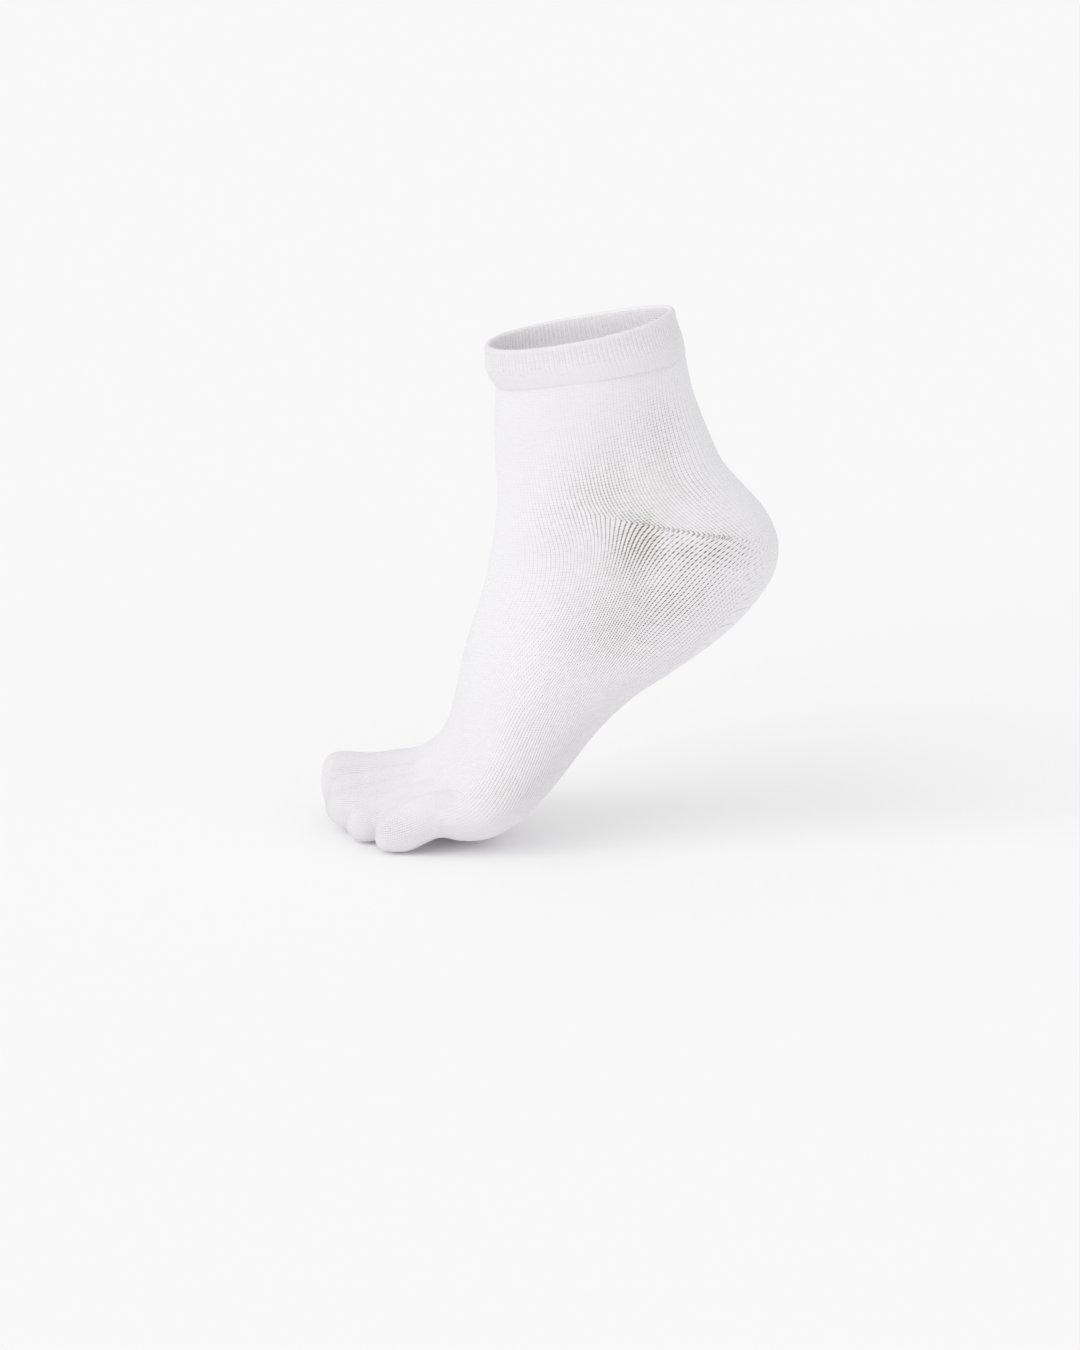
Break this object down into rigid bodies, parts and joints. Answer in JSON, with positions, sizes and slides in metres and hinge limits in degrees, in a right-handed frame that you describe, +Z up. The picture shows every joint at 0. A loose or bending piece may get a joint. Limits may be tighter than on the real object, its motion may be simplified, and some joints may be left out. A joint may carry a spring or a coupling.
{
  "type": "toe sock, left, filled out on tiptoe",
  "caption": "Ankle-high left toe sock of fine knit, hollow and open at the leg, with a ribbed cuff, a gored heel and a separate pocket for each toe, shaped as worn on tiptoe.",
  "frame": {"origin": "centre of the leg opening, where the wearer's leg comes out and holds the sock up", "axes": "+Z up, -Y towards the toes, +X towards the little toe, which is the wearer's left"},
  "size_m": [0.0942, 0.2001, 0.2302],
  "materials": {
    "rib_knit": "matt white cotton, double one-by-one rib with a rolled rim and a plain welt",
    "plain_knit": "matt white cotton, fine plain knit with wales that follow the leg and the foot"
  },
  "bodies": {
    "root": {"cuff": "rib_knit", "leg": "plain_knit", "heel": "plain_knit", "instep": "plain_knit", "arch": "plain_knit", "ball": "plain_knit", "toe_big": "plain_knit", "toe_second": "plain_knit", "toe_third": "plain_knit", "toe_fourth": "plain_knit", "toe_little": "plain_knit"}
  },
  "joints": []
}
